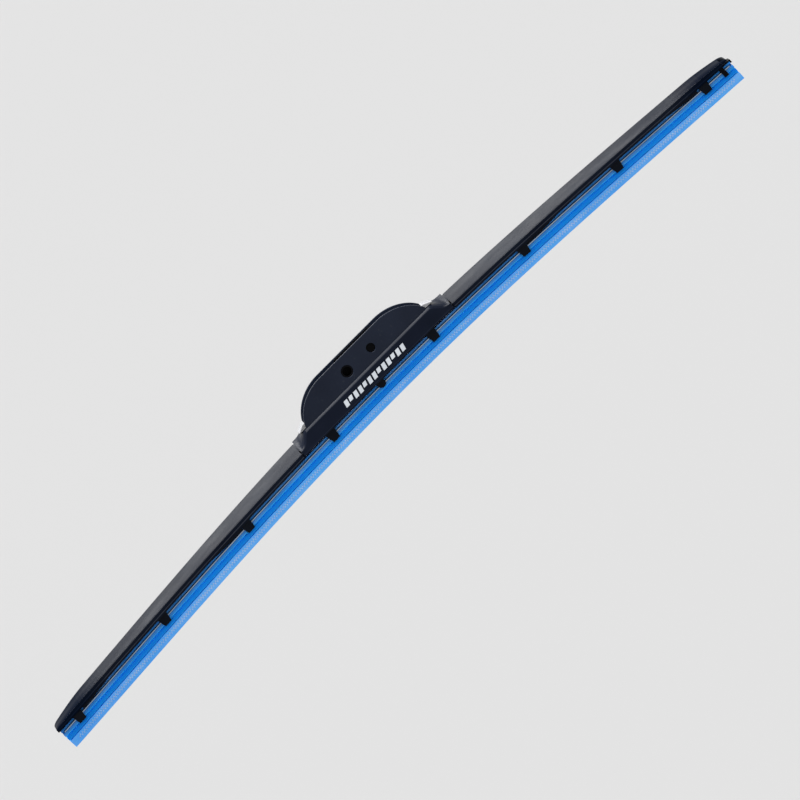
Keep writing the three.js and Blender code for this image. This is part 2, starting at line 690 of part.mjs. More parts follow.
// Part of the cover that reaches in under the bridge's end
function coverNeck() {
  const half = COVER_HALF + BRIDGE_STEP - BRIDGE_WALL - NECK_GAP;
  const w = COVER_NECK_WALL;
  const foot = COVER_BOTTOM + COVER_NECK_FOOT;
  const front = COVER_SHOULDER + BRIDGE_STEP - BRIDGE_END_FRONT - NECK_GAP / 2;
  const rear = front + COVER_NECK_RISE;
  const x0 = BRIDGE_HALF - COVER_NECK;
  const x1 = COVER_START + COVER_END_WALL;
  const outer = loft([[-half, foot], [half, foot], [half, rear], [-half, front]], [x0, x1]);
  const inner = loft(
    [[w - half, foot - OVER], [half - w, foot - OVER], [half - w, rear - w], [w - half, front - w]],
    [x0 - OVER, x1 + OVER],
  );
  return { outer, inner };
}

function coverShell(reach) {
  const roundStart = reach - NOSE_ROUND;
  const noseXs = [0.4, 0.75, 0.93, 1].map((share) => roundStart + share * NOSE_ROUND);
  return loft(
    coverCorners(coverSection(COVER_START), 0, 0),
    [...stations(COVER_START, roundStart, COVER_STEPS), ...noseXs],
    (x, i) => {
      const [y, z] = coverCorners(coverSection(x), 0, 0)[i];
      const s = Math.max(0, (x - roundStart) / NOSE_ROUND);
      const k = 1 - Math.sqrt(1 - s * s);
      const rise = Math.max(0, z - COVER_BOTTOM) * NOSE_ROUND_TOP * k;
      return [y * (1 - NOSE_ROUND_SIDE * k), z - rise];
    },
  );
}

function coverCavity(reach) {
  return loft(
    coverCorners(coverSection(COVER_START), COVER_WALL, OVER),
    stations(COVER_START - OVER, reach - NOSE_WALL, COVER_STEPS),
    (x, i) => coverCorners(coverSection(Math.max(x, COVER_START)), COVER_WALL, OVER)[i],
  );
}

function coverRibs(reach, shell) {
  const xs = [COVER_START + INNER_RIB, YOKE_PIVOT_X + YOKE_HALF + MIDDLE_RIB, reach - OUTER_RIB];
  const foot = FRAME_WEB_TOP + RIB_GAP;
  const top = COVER_RIDGE + OVER;
  return xs.map((x) => box(x, x + RIB_THICK, -FRAME_HALF, FRAME_HALF, foot, top).intersect(shell));
}

function cover(side, reach) {
  const shell = coverShell(reach);
  const neck = coverNeck();
  const endCorners = coverCorners(coverSection(COVER_START), COVER_END_INSET, 0);
  const endWall = cut(loft(endCorners, [COVER_START, COVER_START + COVER_END_WALL]), neck.inner);
  const hollow = cut(shell, coverCavity(reach));
  const body = join(hollow, cut(neck.outer, neck.inner), endWall, ...coverRibs(reach, shell));
  return mirrored(bowed(side > 0 ? cut(body, clipRoom(reach)) : body), side);
}

// Room in the nose for the end clip
function clipRoom(reach) {
  const half = CLAW_OUTER + CLIP_ROOM;
  const x0 = CLIP_CLAW_X - CLIP_CLAW_LENGTH / 2 - CLIP_ROOM;
  return box(x0, reach + OVER, -half, half, COVER_BOTTOM - OVER, YOKE_TOP + CLIP_ROOM);
}

// Side wall beside the rail slot; its foot rises from the claw towards its other end
function skirt(top, farFoot, xs, clawX) {
  const length = Math.max(...xs.map((x) => Math.abs(x - clawX)));
  const section = [[CLAW_INNER, SKIRT_FOOT], [CLAW_OUTER, SKIRT_FOOT], [CLAW_OUTER, top], [CLAW_INNER, top]];
  return loft(section, xs, (x, corner) => {
    const [y, z] = section[corner];
    const along = Math.abs(x - clawX) / length;
    return [y, z === top ? z : z + (farFoot - z) * along ** 2];
  });
}

function leverFrame(side, tipClawX) {
  const x1 = tipClawX + CLAW_TOP_LENGTH / 2;
  const xs = stations(HINGE_X - FRAME_LEAD, x1, COVER_STEPS);
  const skirtXs = stations(tipClawX - TIP_SKIRT_LENGTH, tipClawX - CLAW_FOOT_LENGTH, SKIRT_STEPS);
  const seatTop = FRAME_FOOT + SEAT_THICK;
  const frame = join(
    strip(-FRAME_HALF, FRAME_HALF, FRAME_WEB_TOP - FRAME_WEB, FRAME_WEB_TOP, xs),
    pair(strip(FRAME_INNER, FRAME_HALF, FRAME_FOOT, FRAME_WEB_TOP, xs)),
    pair(hingeLug()),
    pair(rod(YOKE_PIVOT_X, YOKE_PIN_Z, YOKE_PIN_R + PIN_GAP + YOKE_LUG_WALL, FRAME_INNER, FRAME_HALF)),
    pair(strip(FRAME_INNER, CLAW_OUTER, FRAME_FOOT, seatTop, skirtXs)),
    pair(skirt(seatTop, FRAME_FOOT + SINK, skirtXs, tipClawX)),
    box(x1 - CLAW_TOP_LENGTH, x1, -CLAW_OUTER, CLAW_OUTER, FRAME_FOOT, seatTop),
    claw(tipClawX, seatTop - SINK, CLAW_TOP_LENGTH, CLAW_FOOT_LENGTH),
  );
  const through = FRAME_HALF + OVER;
  const pierced = cut(
    frame,
    webWindow(YOKE_PIVOT_X, YOKE_WINDOW_HALF),
    webWindow(HINGE_X, HINGE_WINDOW_HALF),
    rod(HINGE_X, hingeLevel(), HINGE_BUSH_R + PIN_GAP, -through, through),
    rod(YOKE_PIVOT_X, YOKE_PIN_Z, YOKE_PIN_R + PIN_GAP, -through, through),
  );
  return mirrored(bowed(pierced), side);
}

// The hinge's height before the frame is bowed
function hingeLevel() {
  return HINGE_Z + bow(HINGE_X);
}

function hingeLug() {
  const radius = HINGE_BUSH_R + PIN_GAP + HINGE_LUG_WALL;
  const z = hingeLevel();
  return join(
    box(HINGE_X - radius, HINGE_X + radius, FRAME_INNER, FRAME_HALF, FRAME_FOOT, z),
    rod(HINGE_X, z, radius, FRAME_INNER, FRAME_HALF),
  );
}

function webWindow(x, half) {
  return box(x - half, x + half, -FRAME_INNER, FRAME_INNER, SKIRT_FOOT, FRAME_WEB_TOP + OVER);
}

function yokeEar() {
  const radius = YOKE_BUSH_R + PIN_GAP + EAR_WALL;
  const x0 = YOKE_PIVOT_X - radius;
  const x1 = YOKE_PIVOT_X + radius;
  const inner = YOKE_EAR_HALF - FRAME_WALL;
  const foot = box(x0, x1, inner, YOKE_EAR_HALF, YOKE_Z, YOKE_PIN_Z);
  const under = box(x0, x1, 0, FRAME_HALF, YOKE_PIN_Z - 2 * radius, YOKE_Z);
  return cut(join(rod(YOKE_PIVOT_X, YOKE_PIN_Z, radius, inner, YOKE_EAR_HALF), foot), under);
}

function yoke(side) {
  const half = CLAW_TOP_LENGTH / 2;
  const clawXs = [YOKE_PIVOT_X - YOKE_HALF, YOKE_PIVOT_X + YOKE_HALF];
  const xs = stations(clawXs[0] - half, clawXs[1] + half, YOKE_STEPS);
  const skirtXs = stations(clawXs[0] + half - SINK, YOKE_PIVOT_X - SKIRT_END_GAP, SKIRT_STEPS);
  const earInner = YOKE_EAR_HALF - FRAME_WALL;
  const body = join(
    strip(-YOKE_EAR_HALF, YOKE_EAR_HALF, YOKE_Z, YOKE_TOP, xs),
    pair(yokeEar()),
    pair(strip(earInner, CLAW_OUTER, YOKE_Z, YOKE_TOP, skirtXs)),
    pair(skirt(YOKE_TOP, YOKE_Z + SINK, skirtXs, clawXs[0])),
    ...clawXs.map((x) => box(x - half, x + half, -CLAW_OUTER, CLAW_OUTER, YOKE_Z, YOKE_TOP)),
    ...clawXs.map((x) => claw(x, YOKE_TOP - SINK, CLAW_TOP_LENGTH, CLAW_FOOT_LENGTH)),
  );
  const hole = YOKE_BUSH_R + PIN_GAP;
  const through = YOKE_EAR_HALF + OVER;
  const floor = YOKE_Z + YOKE_FLOOR;
  const pierced = cut(
    body,
    rod(YOKE_PIVOT_X, YOKE_PIN_Z, hole, -through, through),
    box(YOKE_PIVOT_X - hole, YOKE_PIVOT_X + hole, -earInner, earInner, floor, YOKE_TOP + OVER),
  );
  return mirrored(bowed(pierced), side);
}

// Claw near the rubber's end, with a stop behind the head only
function endClip() {
  const x0 = CLIP_CLAW_X - CLIP_CLAW_LENGTH / 2;
  const inner = STRIP_HALF + CLIP_END_GAP;
  const outer = inner + CLIP_END_WALL;
  const roof = box(x0, outer, -HEAD_HALF, HEAD_HALF, YOKE_Z, YOKE_TOP);
  const stop = box(inner, outer, -HEAD_HALF, HEAD_HALF, SLOT_TOP_Z, YOKE_TOP);
  const seat = box(x0, x0 + CLIP_CLAW_LENGTH, -CLAW_OUTER, CLAW_OUTER, YOKE_Z, YOKE_TOP);
  const grip = claw(CLIP_CLAW_X, YOKE_TOP - SINK, CLIP_CLAW_LENGTH, CLIP_CLAW_LENGTH);
  return bowed(join(roof, stop, seat, grip));
}

function finished(name, manifold, color, roughness, metalness) {
  const material = new THREE.MeshStandardMaterial({ color, roughness, metalness });
  const mesh = new THREE.Mesh(toGeometry(manifold), material);
  mesh.name = name;
  return mesh;
}

const STEEL = [0xb8bcc2, 0.3, 0.9];
const BLACK_STEEL = [0x15181d, 0.45, 0.4];
const PLASTIC = [0x1c2028, 0.5, 0];
const NYLON = [0xd4d4cf, 0.5, 0];
const RUBBER = [0x2a78cf, 0.6, 0];

const blade = new THREE.Group();
blade.position.set(-PIN_X, 0, -PIN_Z);

blade.add(finished("centre_bridge", centreBridge(), ...PLASTIC));
blade.add(finished("arm_bracket", armBracket(), ...BLACK_STEEL));
blade.add(finished("adapter_liner", adapterLiner(), ...NYLON));
blade.add(finished("hook_adapter", hookAdapter(), ...PLASTIC));
blade.add(finished("centre_claw_holder", clawHolder(), ...BLACK_STEEL));
blade.add(finished("bracket_rivet_left", rivet(-RIVET_X), ...STEEL));
blade.add(finished("bracket_rivet_right", rivet(RIVET_X), ...STEEL));
blade.add(finished("wiper_rubber", wiperRubber(), ...RUBBER));
blade.add(finished("rear_rail", rail(), ...STEEL));
blade.add(finished("front_rail", rail().mirror([0, 1, 0]), ...STEEL));
blade.add(finished("end_clip", endClip(), ...BLACK_STEEL));

for (const [hand, side, tipClawX, reach] of [
  ["left", -1, LEFT_TIP_CLAW_X, STRIP_HALF + LEFT_COVER_OVERHANG],
  ["right", 1, RIGHT_TIP_CLAW_X, STRIP_HALF - RIGHT_COVER_SHORT],
]) {
  const yokePinZ = YOKE_PIN_Z - bow(YOKE_PIVOT_X);
  const hingeBush = tube(HINGE_X, HINGE_Z, HINGE_PIN_R + PIN_GAP, HINGE_BUSH_R, -FRAME_HALF, FRAME_HALF);
  const yokeHole = YOKE_PIN_R + PIN_GAP;
  const yokeBush = tube(YOKE_PIVOT_X, yokePinZ, yokeHole, YOKE_BUSH_R, -YOKE_EAR_HALF, YOKE_EAR_HALF);
  const hingePin = rod(HINGE_X, HINGE_Z, HINGE_PIN_R, -HINGE_PIN_HALF, HINGE_PIN_HALF);
  const yokePin = rod(YOKE_PIVOT_X, yokePinZ, YOKE_PIN_R, -YOKE_PIN_HALF, YOKE_PIN_HALF);
  blade.add(finished(`${hand}_cover`, cover(side, reach), ...PLASTIC));
  blade.add(finished(`${hand}_lever_frame`, leverFrame(side, tipClawX), ...BLACK_STEEL));
  blade.add(finished(`${hand}_yoke`, yoke(side), ...BLACK_STEEL));
  blade.add(finished(`${hand}_hinge_pin`, mirrored(hingePin, side), ...STEEL));
  blade.add(finished(`${hand}_hinge_bush`, mirrored(hingeBush, side), ...NYLON));
  blade.add(finished(`${hand}_yoke_pin`, mirrored(yokePin, side), ...STEEL));
  blade.add(finished(`${hand}_yoke_bush`, mirrored(yokeBush, side), ...NYLON));
}

export default blade;
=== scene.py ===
import math

import bmesh
import bpy
import numpy as np
from mathutils import Matrix, Vector


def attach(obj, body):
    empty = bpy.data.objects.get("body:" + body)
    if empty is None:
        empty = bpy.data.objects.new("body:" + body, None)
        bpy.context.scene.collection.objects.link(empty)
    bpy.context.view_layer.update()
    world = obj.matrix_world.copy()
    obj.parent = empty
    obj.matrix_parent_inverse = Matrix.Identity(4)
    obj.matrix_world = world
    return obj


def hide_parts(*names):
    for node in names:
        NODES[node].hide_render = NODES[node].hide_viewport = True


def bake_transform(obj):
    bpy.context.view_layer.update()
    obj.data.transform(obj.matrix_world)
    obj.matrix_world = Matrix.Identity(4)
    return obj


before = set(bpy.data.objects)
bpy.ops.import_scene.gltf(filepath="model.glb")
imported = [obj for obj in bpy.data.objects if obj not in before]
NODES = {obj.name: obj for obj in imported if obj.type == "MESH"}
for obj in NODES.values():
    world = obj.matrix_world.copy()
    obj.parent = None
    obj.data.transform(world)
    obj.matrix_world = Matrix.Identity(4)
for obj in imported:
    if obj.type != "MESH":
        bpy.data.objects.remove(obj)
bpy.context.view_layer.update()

# All sizes below are in millimetres in the blade's own frame: x from the blade's middle, z up from the
# middle of the wiping lip. row() moves them into the row frame in metres.
PIN_X, PIN_Z = -8.0, 28.4
STRIP_HALF, TIP_DROP, FULLNESS = 241.3, 10.8, 0.34
BRIDGE_HALF, BRIDGE_BLEND = 53.5, 10.0
COVER_START = BRIDGE_HALF + 0.8
RIDGE_Y = 4.0


def bow(x):
    """How far the free blade hangs below its middle at x."""
    s = (x / STRIP_HALF) ** 2
    return TIP_DROP * ((1 + FULLNESS) * s - FULLNESS * s * s)


def level(x):
    """The drop of a piece that doesn't follow the bow."""
    return 0


def row(p):
    return ((p[0] - PIN_X) / 1000, p[1] / 1000, (p[2] - PIN_Z) / 1000)


# ---------------------------------------------------------------- mesh helpers


def arc(corner, before, after, radius, count):
    """Points of a fillet of that radius at corner."""
    c, a, b = (np.array(v, float) for v in (corner, before, after))
    da, db = a - c, b - c
    la, lb = np.linalg.norm(da), np.linalg.norm(db)
    if min(la, lb) < 1e-6:
        return [tuple(c)]
    da, db = da / la, db / lb
    angle = math.acos(max(-1, min(1, float(da @ db))))
    if radius <= 0 or angle > math.pi - 0.02 or angle < 0.02:
        return [tuple(c)]
    cut = min(radius / math.tan(angle / 2), la * 0.49, lb * 0.49)
    r = cut * math.tan(angle / 2)
    middle = c + (da + db) / np.linalg.norm(da + db) * (r / math.sin(angle / 2))
    start, end = c + da * cut - middle, c + db * cut - middle
    t0, t1 = math.atan2(start[1], start[0]), math.atan2(end[1], end[0])
    turn = (t1 - t0 + math.pi) % (2 * math.pi) - math.pi
    steps = [t0 + turn * i / count for i in range(count + 1)]
    return [(middle[0] + r * math.cos(t), middle[1] + r * math.sin(t)) for t in steps]


def rounded(points, count=4):
    """points are (y, z, radius); the closed outline with each corner filleted."""
    out = []
    n = len(points)
    for i, (y, z, r) in enumerate(points):
        before, after = points[i - 1][:2], points[(i + 1) % n][:2]
        made = arc((y, z), before, after, r, count)
        if len(made) == 1:
            made = made * (count + 1) if r > 0 else made
        out += made
    return out


def spread(x0, x1, step):
    """Places from x0 to x1, about step apart."""
    count = max(1, round(abs(x1 - x0) / step))
    return [x0 + (x1 - x0) * i / count for i in range(count + 1)]


def add_mesh(name, points, faces, material, angle=32):
    mesh = bpy.data.meshes.new(name)
    mesh.from_pydata([row(p) for p in points], [], faces)
    mesh.validate()
    mesh.polygons.foreach_set("use_smooth", [True] * len(mesh.polygons))
    mesh.set_sharp_from_angle(angle=math.radians(angle))
    for m in material if isinstance(material, list) else [material]:
        mesh.materials.append(m)
    obj = bpy.data.objects.new(name, mesh)
    bpy.context.scene.collection.objects.link(obj)
    return obj


class Shape:
    """Collects closed bodies that make one piece."""

    def __init__(self):
        self.points, self.faces, self.kinds = [], [], []

    def loft(self, section, xs, kinds=None, drop=bow):
        """section(x) gives the same number of (y, z) corners, anticlockwise seen from +x, at each x.
        kinds gives each corner's face its material, and the ends take the first."""
        base = len(self.points)
        for x in xs:
            self.points += [(x, y, z - drop(x)) for y, z in section(x)]
        n = (len(self.points) - base) // len(xs)
        kinds = kinds or [0] * n
        flip = xs[-1] < xs[0]
        for i in range(len(xs) - 1):
            for j in range(n):
                a, b = base + i * n + j, base + i * n + (j + 1) % n
                quad = (a, b, b + n, a + n)
                self.add(quad if flip else quad[::-1], kinds[j])
        first = [base + j for j in range(n)]
        last = [base + (len(xs) - 1) * n + j for j in range(n)]
        self.add(first[::-1] if flip else first, kinds[0])
        self.add(last if flip else last[::-1], kinds[0])

    def add(self, face, kind=0):
        self.faces.append(tuple(face))
        self.kinds.append(kind)

    def prism(self, outline, direction):
        """outline is a list of 3-D corners; direction moves them to the other end."""
        base, n = len(self.points), len(outline)
        self.points += [tuple(p) for p in outline]
        self.points += [tuple(np.array(p) + np.array(direction)) for p in outline]
        self.add(range(base + n - 1, base - 1, -1))
        self.add(range(base + n, base + 2 * n))
        for i in range(n):
            j = (i + 1) % n
            self.add((base + i, base + j, base + n + j, base + n + i))

    def done(self, name, material, angle=32):
        obj = add_mesh(name, self.points, self.faces, material, angle)
        if isinstance(material, list):
            obj.data.polygons.foreach_set("material_index", self.kinds)
        return obj


def outward(obj):
    """Turns every face of a closed mesh outwards."""
    bm = bmesh.new()
    bm.from_mesh(obj.data)
    bmesh.ops.recalc_face_normals(bm, faces=bm.faces)
    bm.to_mesh(obj.data)
    bm.free()
    return obj


def plate(name, loops, y0, y1, bevel):
    """Flat plate with an outline and holes in x and z, and rounded edges."""
    curve = bpy.data.curves.new(name, "CURVE")
    curve.dimensions, curve.fill_mode = "2D", "BOTH"
    curve.extrude = (y1 - y0) / 2 - bevel
    curve.bevel_depth, curve.bevel_resolution = bevel, 2
    curve.offset = -bevel
    for points in loops:
        line = curve.splines.new("POLY")
        line.points.add(len(points) - 1)
        line.use_cyclic_u = True
        for p, (x, z) in zip(line.points, points):
            p.co = (x, z, 0, 1)
    holder = bpy.data.objects.new(name + "_line", curve)
    bpy.context.scene.collection.objects.link(holder)
    bpy.context.view_layer.update()
    flat = bpy.data.meshes.new_from_object(holder.evaluated_get(bpy.context.evaluated_depsgraph_get()))
    bpy.data.objects.remove(holder)
    middle = (y0 + y1) / 2
    points = [(v.co.x, middle - v.co.z, v.co.y) for v in flat.vertices]
    faces = [tuple(f.vertices) for f in flat.polygons]
    bpy.data.meshes.remove(flat)
    return points, faces


def circle(x, z, r, count):
    turns = [2 * math.pi * i / count for i in range(count)]
    return [(x + r * math.cos(t), z + r * math.sin(t)) for t in turns]


def bezier(p0, p1, p2, p3, count):
    out = []
    for i in range(count + 1):
        t = i / count
        w = ((1 - t) ** 3, 3 * t * (1 - t) ** 2, 3 * t * t * (1 - t), t**3)
        out.append(tuple(sum(k * p[a] for k, p in zip(w, (p0, p1, p2, p3))) for a in (0, 1)))
    return out


# ---------------------------------------------------------------- materials


class Graph:
    """A material and short ways to add nodes to it. Places and bump distances are in metres."""

    def __init__(self, name):
        self.material = bpy.data.materials.new(name)
        self.material.use_nodes = True
        self.tree = self.material.node_tree
        self.shader = self.tree.nodes["Principled BSDF"]
        self.place = self.tree.nodes.new("ShaderNodeTexCoord").outputs["Object"]

    def node(self, kind, **inputs):
        n = self.tree.nodes.new(kind)
        for key, value in inputs.items():
            key = key.replace("_", " ")
            if isinstance(value, bpy.types.NodeSocket):
                self.tree.links.new(value, n.inputs[key])
            else:
                n.inputs[key].default_value = value
        return n

    def noise(self, scale, detail=3.0, stretch=(1, 1, 1)):
        mapping = self.node("ShaderNodeMapping", Vector=self.place)
        mapping.inputs["Scale"].default_value = stretch
        n = self.node("ShaderNodeTexNoise", Vector=mapping.outputs[0], Scale=scale, Detail=detail)
        return n.outputs["Fac"]

    def ranged(self, value, low, high, start=0.3, end=0.7):
        n = self.node("ShaderNodeMapRange", Value=value)
        for key, v in (("From Min", start), ("From Max", end), ("To Min", low), ("To Max", high)):
            n.inputs[key].default_value = v
        return n.outputs[0]

    def maths(self, a, b, operation="ADD"):
        n = self.tree.nodes.new("ShaderNodeMath")
        n.operation = operation
        for socket, value in zip(n.inputs, (a, b)):
            if isinstance(value, bpy.types.NodeSocket):
                self.tree.links.new(value, socket)
            else:
                socket.default_value = value
        return n.outputs[0]

    def far_along(self):
        """Distance from the blade's middle along it, in metres."""
        x = self.node("ShaderNodeSeparateXYZ", Vector=self.place).outputs["X"]
        return self.maths(self.maths(x, PIN_X / 1000), 0.0, "ABSOLUTE")

    def colours(self, value, low, high, start=0.3, end=0.7):
        ramp = self.tree.nodes.new("ShaderNodeValToRGB")
        ramp.color_ramp.elements[0].position, ramp.color_ramp.elements[0].color = start, (*low, 1)
        ramp.color_ramp.elements[1].position, ramp.color_ramp.elements[1].color = end, (*high, 1)
        self.tree.links.new(value, ramp.inputs[0])
        return ramp.outputs[0]

    def mix(self, share, a, b):
        n = self.tree.nodes.new("ShaderNodeMix")
        n.data_type = "RGBA"
        for socket, value in ((n.inputs[0], share), (n.inputs[6], a), (n.inputs[7], b)):
            if isinstance(value, bpy.types.NodeSocket):
                self.tree.links.new(value, socket)
            else:
                socket.default_value = value if isinstance(value, float) else (*value, 1)
        return n.outputs[2]

    def bump(self, height, distance, strength=1.0, before=None):
        n = self.node("ShaderNodeBump", Height=height, Distance=distance, Strength=strength)
        if before:
            self.tree.links.new(before, n.inputs["Normal"])
        return n.outputs[0]

    def set(self, **values):
        for key, value in values.items():
            socket = self.shader.inputs[key.replace("_", " ")]
            if isinstance(value, bpy.types.NodeSocket):
                self.tree.links.new(value, socket)
            else:
                socket.default_value = value
        return self.material


def moulded(name, low, high, rough, spec, index=1.47, polished=0.0):
    """polished is how much smoother the piece is towards the blade's two ends."""
    grain, depth = 2600, 0.00003
    polish_from, polish_to = 0.202, 0.232
    g = Graph(name)
    cloud = g.noise(60, 4)
    fine = g.noise(grain, 2)
    flow = g.noise(240, 3, (0.25, 1, 1))
    tone = g.colours(cloud, low, high)
    roughness = g.ranged(flow, rough - 0.05, rough + 0.07)
    if polished:
        end = g.ranged(g.far_along(), 0.0, 1.0, polish_from, polish_to)
        roughness = g.maths(roughness, g.ranged(end, 0.0, -polished, 0, 1))
    return g.set(
        Base_Color=g.mix(g.ranged(fine, 0.0, 0.25), tone, tuple(c * 0.55 for c in low)),
        Roughness=roughness,
        Normal=g.bump(fine, depth, 0.6, g.bump(flow, depth * 2, 0.3)),
        IOR=index,
        Specular_IOR_Level=spec,
    )


def painted(name, low, high, rough, spec=0.14):
    g = Graph(name)
    peel = g.noise(900, 2)
    cloud = g.noise(45, 4)
    wear = g.noise(700, 5)
    worn, tone = g.ranged(wear, 0.0, 0.35, 0.62, 0.8), g.colours(cloud, low, high)
    return g.set(
        Base_Color=g.mix(worn, tone, (0.03, 0.032, 0.036)),
        Roughness=g.ranged(cloud, rough - 0.06, rough + 0.08),
        Normal=g.bump(peel, 0.00004, 0.5),
        Specular_IOR_Level=spec,
    )


def steel(name, low, high, rough, stretch, anisotropic=0.5):
    g = Graph(name)
    lines = g.noise(2400, 3, stretch)
    cloud = g.noise(80, 3)
    tarnish = g.noise(30, 5)
    dulled, tone = g.ranged(tarnish, 0.0, 0.45, 0.5, 0.75), g.colours(lines, low, high)
    return g.set(
        Base_Color=g.mix(dulled, tone, tuple(c * 0.72 for c in low)),
        Metallic=1.0,
        Roughness=g.ranged(cloud, rough - 0.06, rough + 0.1),
        Anisotropic=anisotropic,
        Normal=g.bump(lines, 0.00001, 0.5),
    )


def rubber(name, low, high, rough, bloom, spec=0.4):
    g = Graph(name)
    cloud = g.noise(22, 4, (0.35, 1, 1))
    haze = g.noise(180, 4, (0.3, 1, 1))
    fine = g.noise(2200, 2)
    tone = g.colours(cloud, low, high, 0.32, 0.68)
    return g.set(
        Base_Color=g.mix(g.ranged(haze, 0.0, 0.5, 0.42, 0.75), tone, bloom),
        Roughness=g.ranged(haze, rough - 0.08, rough + 0.1),
        Subsurface_Weight=0.12,
        Subsurface_Radius=(0.0004, 0.0012, 0.003),
        Subsurface_Scale=0.6,
        Specular_IOR_Level=spec,
        Sheen_Weight=0.12,
        Sheen_Roughness=0.4,
        Normal=g.bump(fine, 0.000015, 0.5),
    )


def nylon(name):
    g = Graph(name)
    cloud = g.noise(120, 3)
    fine = g.noise(1800, 2)
    return g.set(
        Base_Color=g.colours(cloud, (0.17, 0.175, 0.18), (0.24, 0.24, 0.25)),
        Roughness=g.ranged(cloud, 0.5, 0.65),
        Specular_IOR_Level=0.15,
        Subsurface_Weight=0.35,
        Subsurface_Radius=(0.002, 0.002, 0.0022),
        Subsurface_Scale=0.5,
        Transmission_Weight=0.12,
        Normal=g.bump(fine, 0.00001, 0.4),
    )


# The cover's gloss fades towards its nose in bands, because the export keeps these values only as constants.
BAND_START, BAND_WIDTH = 0.2035, 0.0026
COVER_LOW, COVER_HIGH = (0.001, 0.002, 0.006), (0.002, 0.004, 0.009)
COVER_BANDS = [
    moulded(f"cover_plastic_{k}", COVER_LOW, COVER_HIGH, 0.34, 0.06 - 0.005 * k, 1.47 - 0.034 * k, 0.24)
    for k in range(9)
]
COVER = COVER_BANDS[0]
BRIDGE = moulded("bridge_plastic", (0.0015, 0.003, 0.008), (0.003, 0.005, 0.012), 0.34, 0.08)
BLACK_NYLON = moulded("black_nylon", (0.001, 0.001, 0.0015), (0.002, 0.002, 0.003), 0.4, 0.05)
BLACK_STEEL = painted("black_steel", (0.003, 0.005, 0.012), (0.005, 0.008, 0.017), 0.34)
CLAW_STEEL = painted("claw_steel", (0.001, 0.002, 0.005), (0.003, 0.005, 0.010), 0.3, 0.06)
# Painted reflection and painted shade: the rails' steel is darkened and tinted blue, standing in for the blue
# rubber it reflects and the shade it lies in.
SPRING_STEEL_BLUE_REFLECTION = steel("spring_steel", (0.20, 0.27, 0.38), (0.32, 0.40, 0.50), 0.3, (0.02, 1, 1))
PIN_STEEL = steel("pin_steel", (0.5, 0.51, 0.53), (0.62, 0.63, 0.65), 0.28, (1, 1, 0.1), 0.3)
RUBBER = rubber("blue_rubber", (0.006, 0.17, 0.56), (0.014, 0.22, 0.66), 0.5, (0.14, 0.34, 0.70), 0.22)
# The keel's lighter blue is partly its frosted finish and partly painted light on faces that turn down, away
# from the lamps.
KEEL_FROST_AND_LIGHT = rubber("blue_rubber_scrubber_frost_and_light", (0.062, 0.33, 0.86), (0.10, 0.42, 0.94), 0.55, (0.24, 0.50, 0.95), 0.2)
# Painted highlight: the raised points are a lighter blue than the keel they stand on.
SCRUBBER_HIGHLIGHT = rubber("blue_rubber_points_painted_highlight", (0.19, 0.41, 0.80), (0.31, 0.51, 0.90), 0.42, (0.55, 0.68, 0.93), 0.4)
# Painted light: the neck face lies in shade under the flange, and its brighter blue stands in for light
# there.
NECK_PAINTED_LIGHT = rubber("blue_rubber_neck_painted_light", (0.001, 0.18, 0.66), (0.002, 0.22, 0.76), 0.45, (0.006, 0.26, 0.80), 0.07)
# Painted light: the faces in the hinge notch and the groove take a brighter blue that stands in for light in
# these shaded recesses.
GAP_PAINTED_LIGHT = rubber("blue_rubber_gap_painted_light", (0.01, 0.42, 0.98), (0.02, 0.48, 1.0), 0.5, (0.03, 0.5, 1.0), 0.07)
NYLON = nylon("natural_nylon")
MARK = moulded("printed_mark", (0.38, 0.41, 0.45), (0.52, 0.55, 0.58), 0.5, 0.4)


# ---------------------------------------------------------------- wiping strip

KEEL_TOP, SHOULDER_Z, GROOVE_Z, FLANGE_Z = 4.7, 5.3, 7.2, 8.2
SLOT_Z, SLOT_TOP_Z, HEAD_Z = 9.85, 10.95, 12.1
KEEL_LOW, KEEL_HIGH = (0.62, 0.75), (2.5, 4.1)  # foot and top of the keel's sloping face
RAIL_OUTER, RAIL_WIDTH, RAIL_THICK = 4.45, 3.0, 0.9
RAIL_GAP, RAIL_SHORT = 0.1, 1.5
STRIP_STEP = 3.0


def strip_section():
    """Right half from the lip up, then mirrored, with the kind of face that starts at each corner."""
    half = [
        # kind 1 is the keel, 2 the neck face and 3 the notch and groove, which carry painted light; 0 is the
        # body
        (0.32, 0.0, 0.08, 1),
        (0.45, 0.12, 0.05, 1),
        (*KEEL_LOW, 0.1, 1),
        (*KEEL_HIGH, 0.15, 1),
        (2.6, KEEL_TOP, 0.12, 3),
        (0.6, 4.72, 0.15, 3),
        (0.6, 5.28, 0.15, 3),
        (2.75, SHOULDER_Z, 0.18, 2),
        (2.9, 5.7, 0.15, 2),
        (2.9, GROOVE_Z, 0.2, 3),
        (1.3, GROOVE_Z, 0.1, 3),
        (1.3, FLANGE_Z, 0.1, 3),
        (4.05, FLANGE_Z, 0.25, 0),
        (4.2, 8.75, 0.12, 0),
        (4.2, SLOT_Z, 0.15, 0),
        (1.35, SLOT_Z, 0.0, 0),
        (1.35, SLOT_TOP_Z, 0.0, 0),
        (3.4, SLOT_TOP_Z, 0.15, 0),
        (3.4, HEAD_Z, 0.35, 0),
    ]
    corners = [(y, z, r) for y, z, r, _ in half] + [(-y, z, r) for y, z, r, _ in reversed(half)]
    count = 2
    outline, kinds = [], []
    one_side = [k for *_, k in half]
    marks = one_side + one_side[-2::-1] + [1]
    for i, (y, z, r) in enumerate(corners):
        before, after = corners[i - 1], corners[(i + 1) % len(corners)]
        made = arc((y, z), before[:2], after[:2], r, count)
        outline += made
        kinds += [marks[i]] * len(made)
    return outline, kinds


STRIP, STRIP_KINDS = strip_section()


